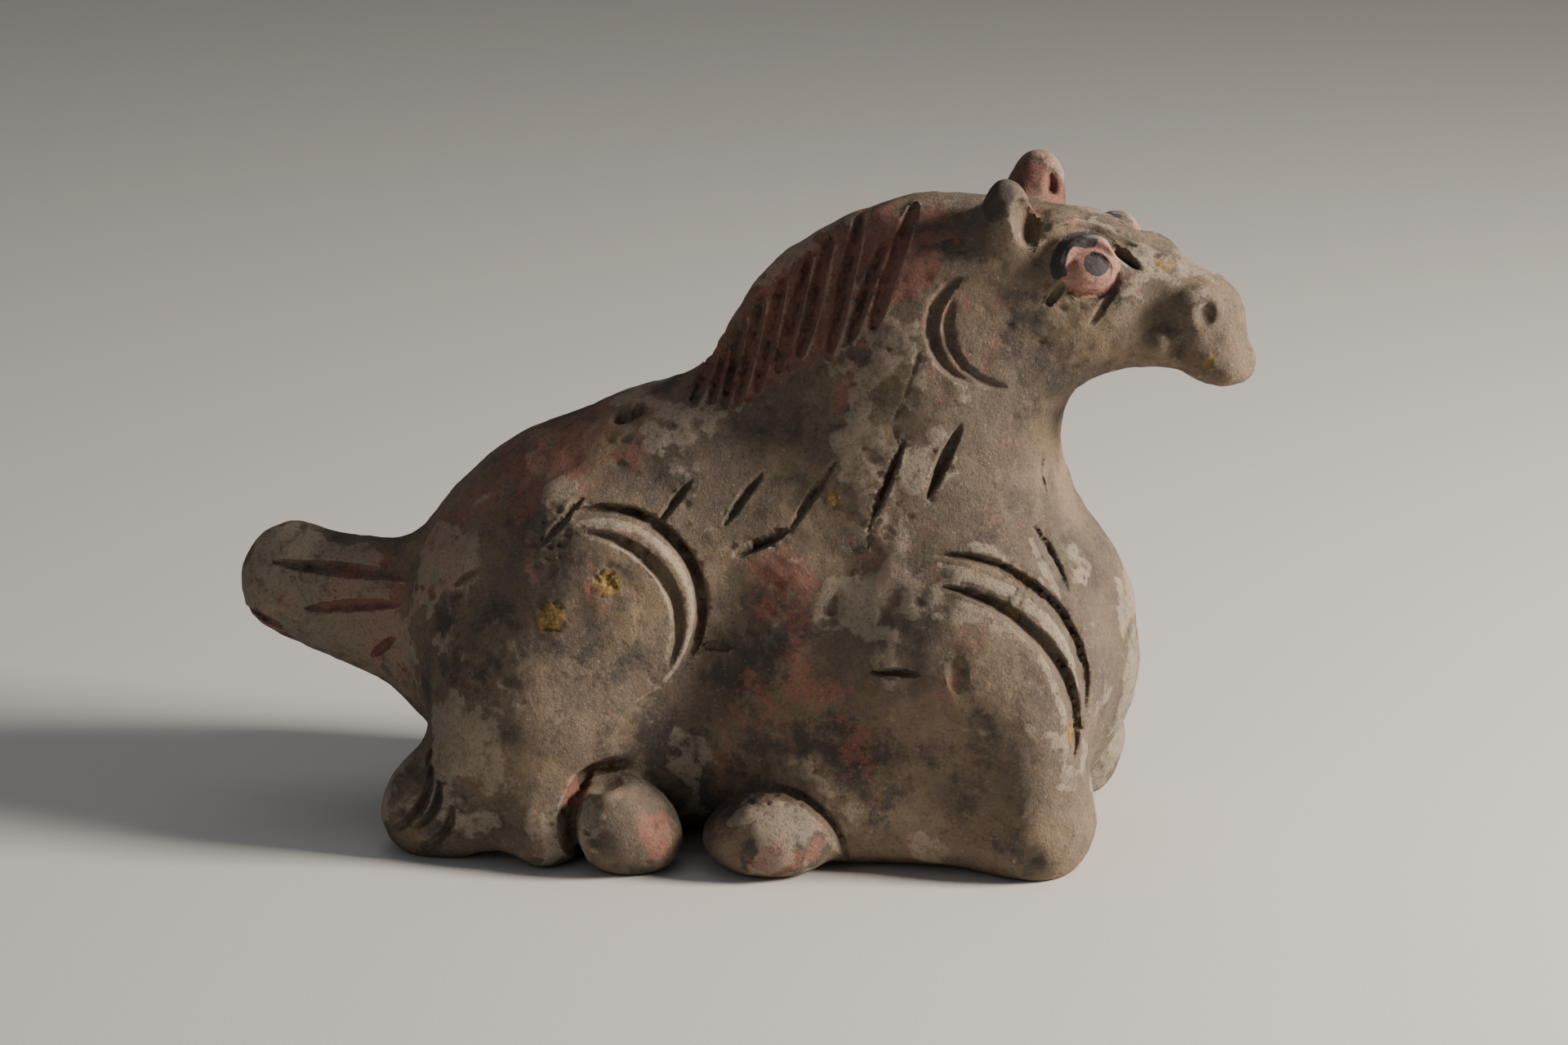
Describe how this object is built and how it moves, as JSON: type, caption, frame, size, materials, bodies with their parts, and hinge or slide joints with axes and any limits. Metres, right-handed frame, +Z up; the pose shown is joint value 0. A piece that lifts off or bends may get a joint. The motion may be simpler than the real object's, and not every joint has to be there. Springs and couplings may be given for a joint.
{
  "type": "pottery horse figure",
  "caption": "Recumbent horse of grey earthenware with legs tucked under, knife-scored mane and flanks, pricked ears and a raised paddle tail, resting flat on its belly and hooves.",
  "frame": {"origin": "middle of the footprint on the plane the figure stands on", "axes": "+X towards the muzzle, +Z up, the horse's right side faces -Y"},
  "size_m": [0.3312, 0.1452, 0.2206],
  "materials": {
    "fired_clay": "matt, gritty, with worn pigment and burial soil"
  },
  "bodies": {
    "root": {"horse_figure": "fired_clay"}
  },
  "joints": []
}
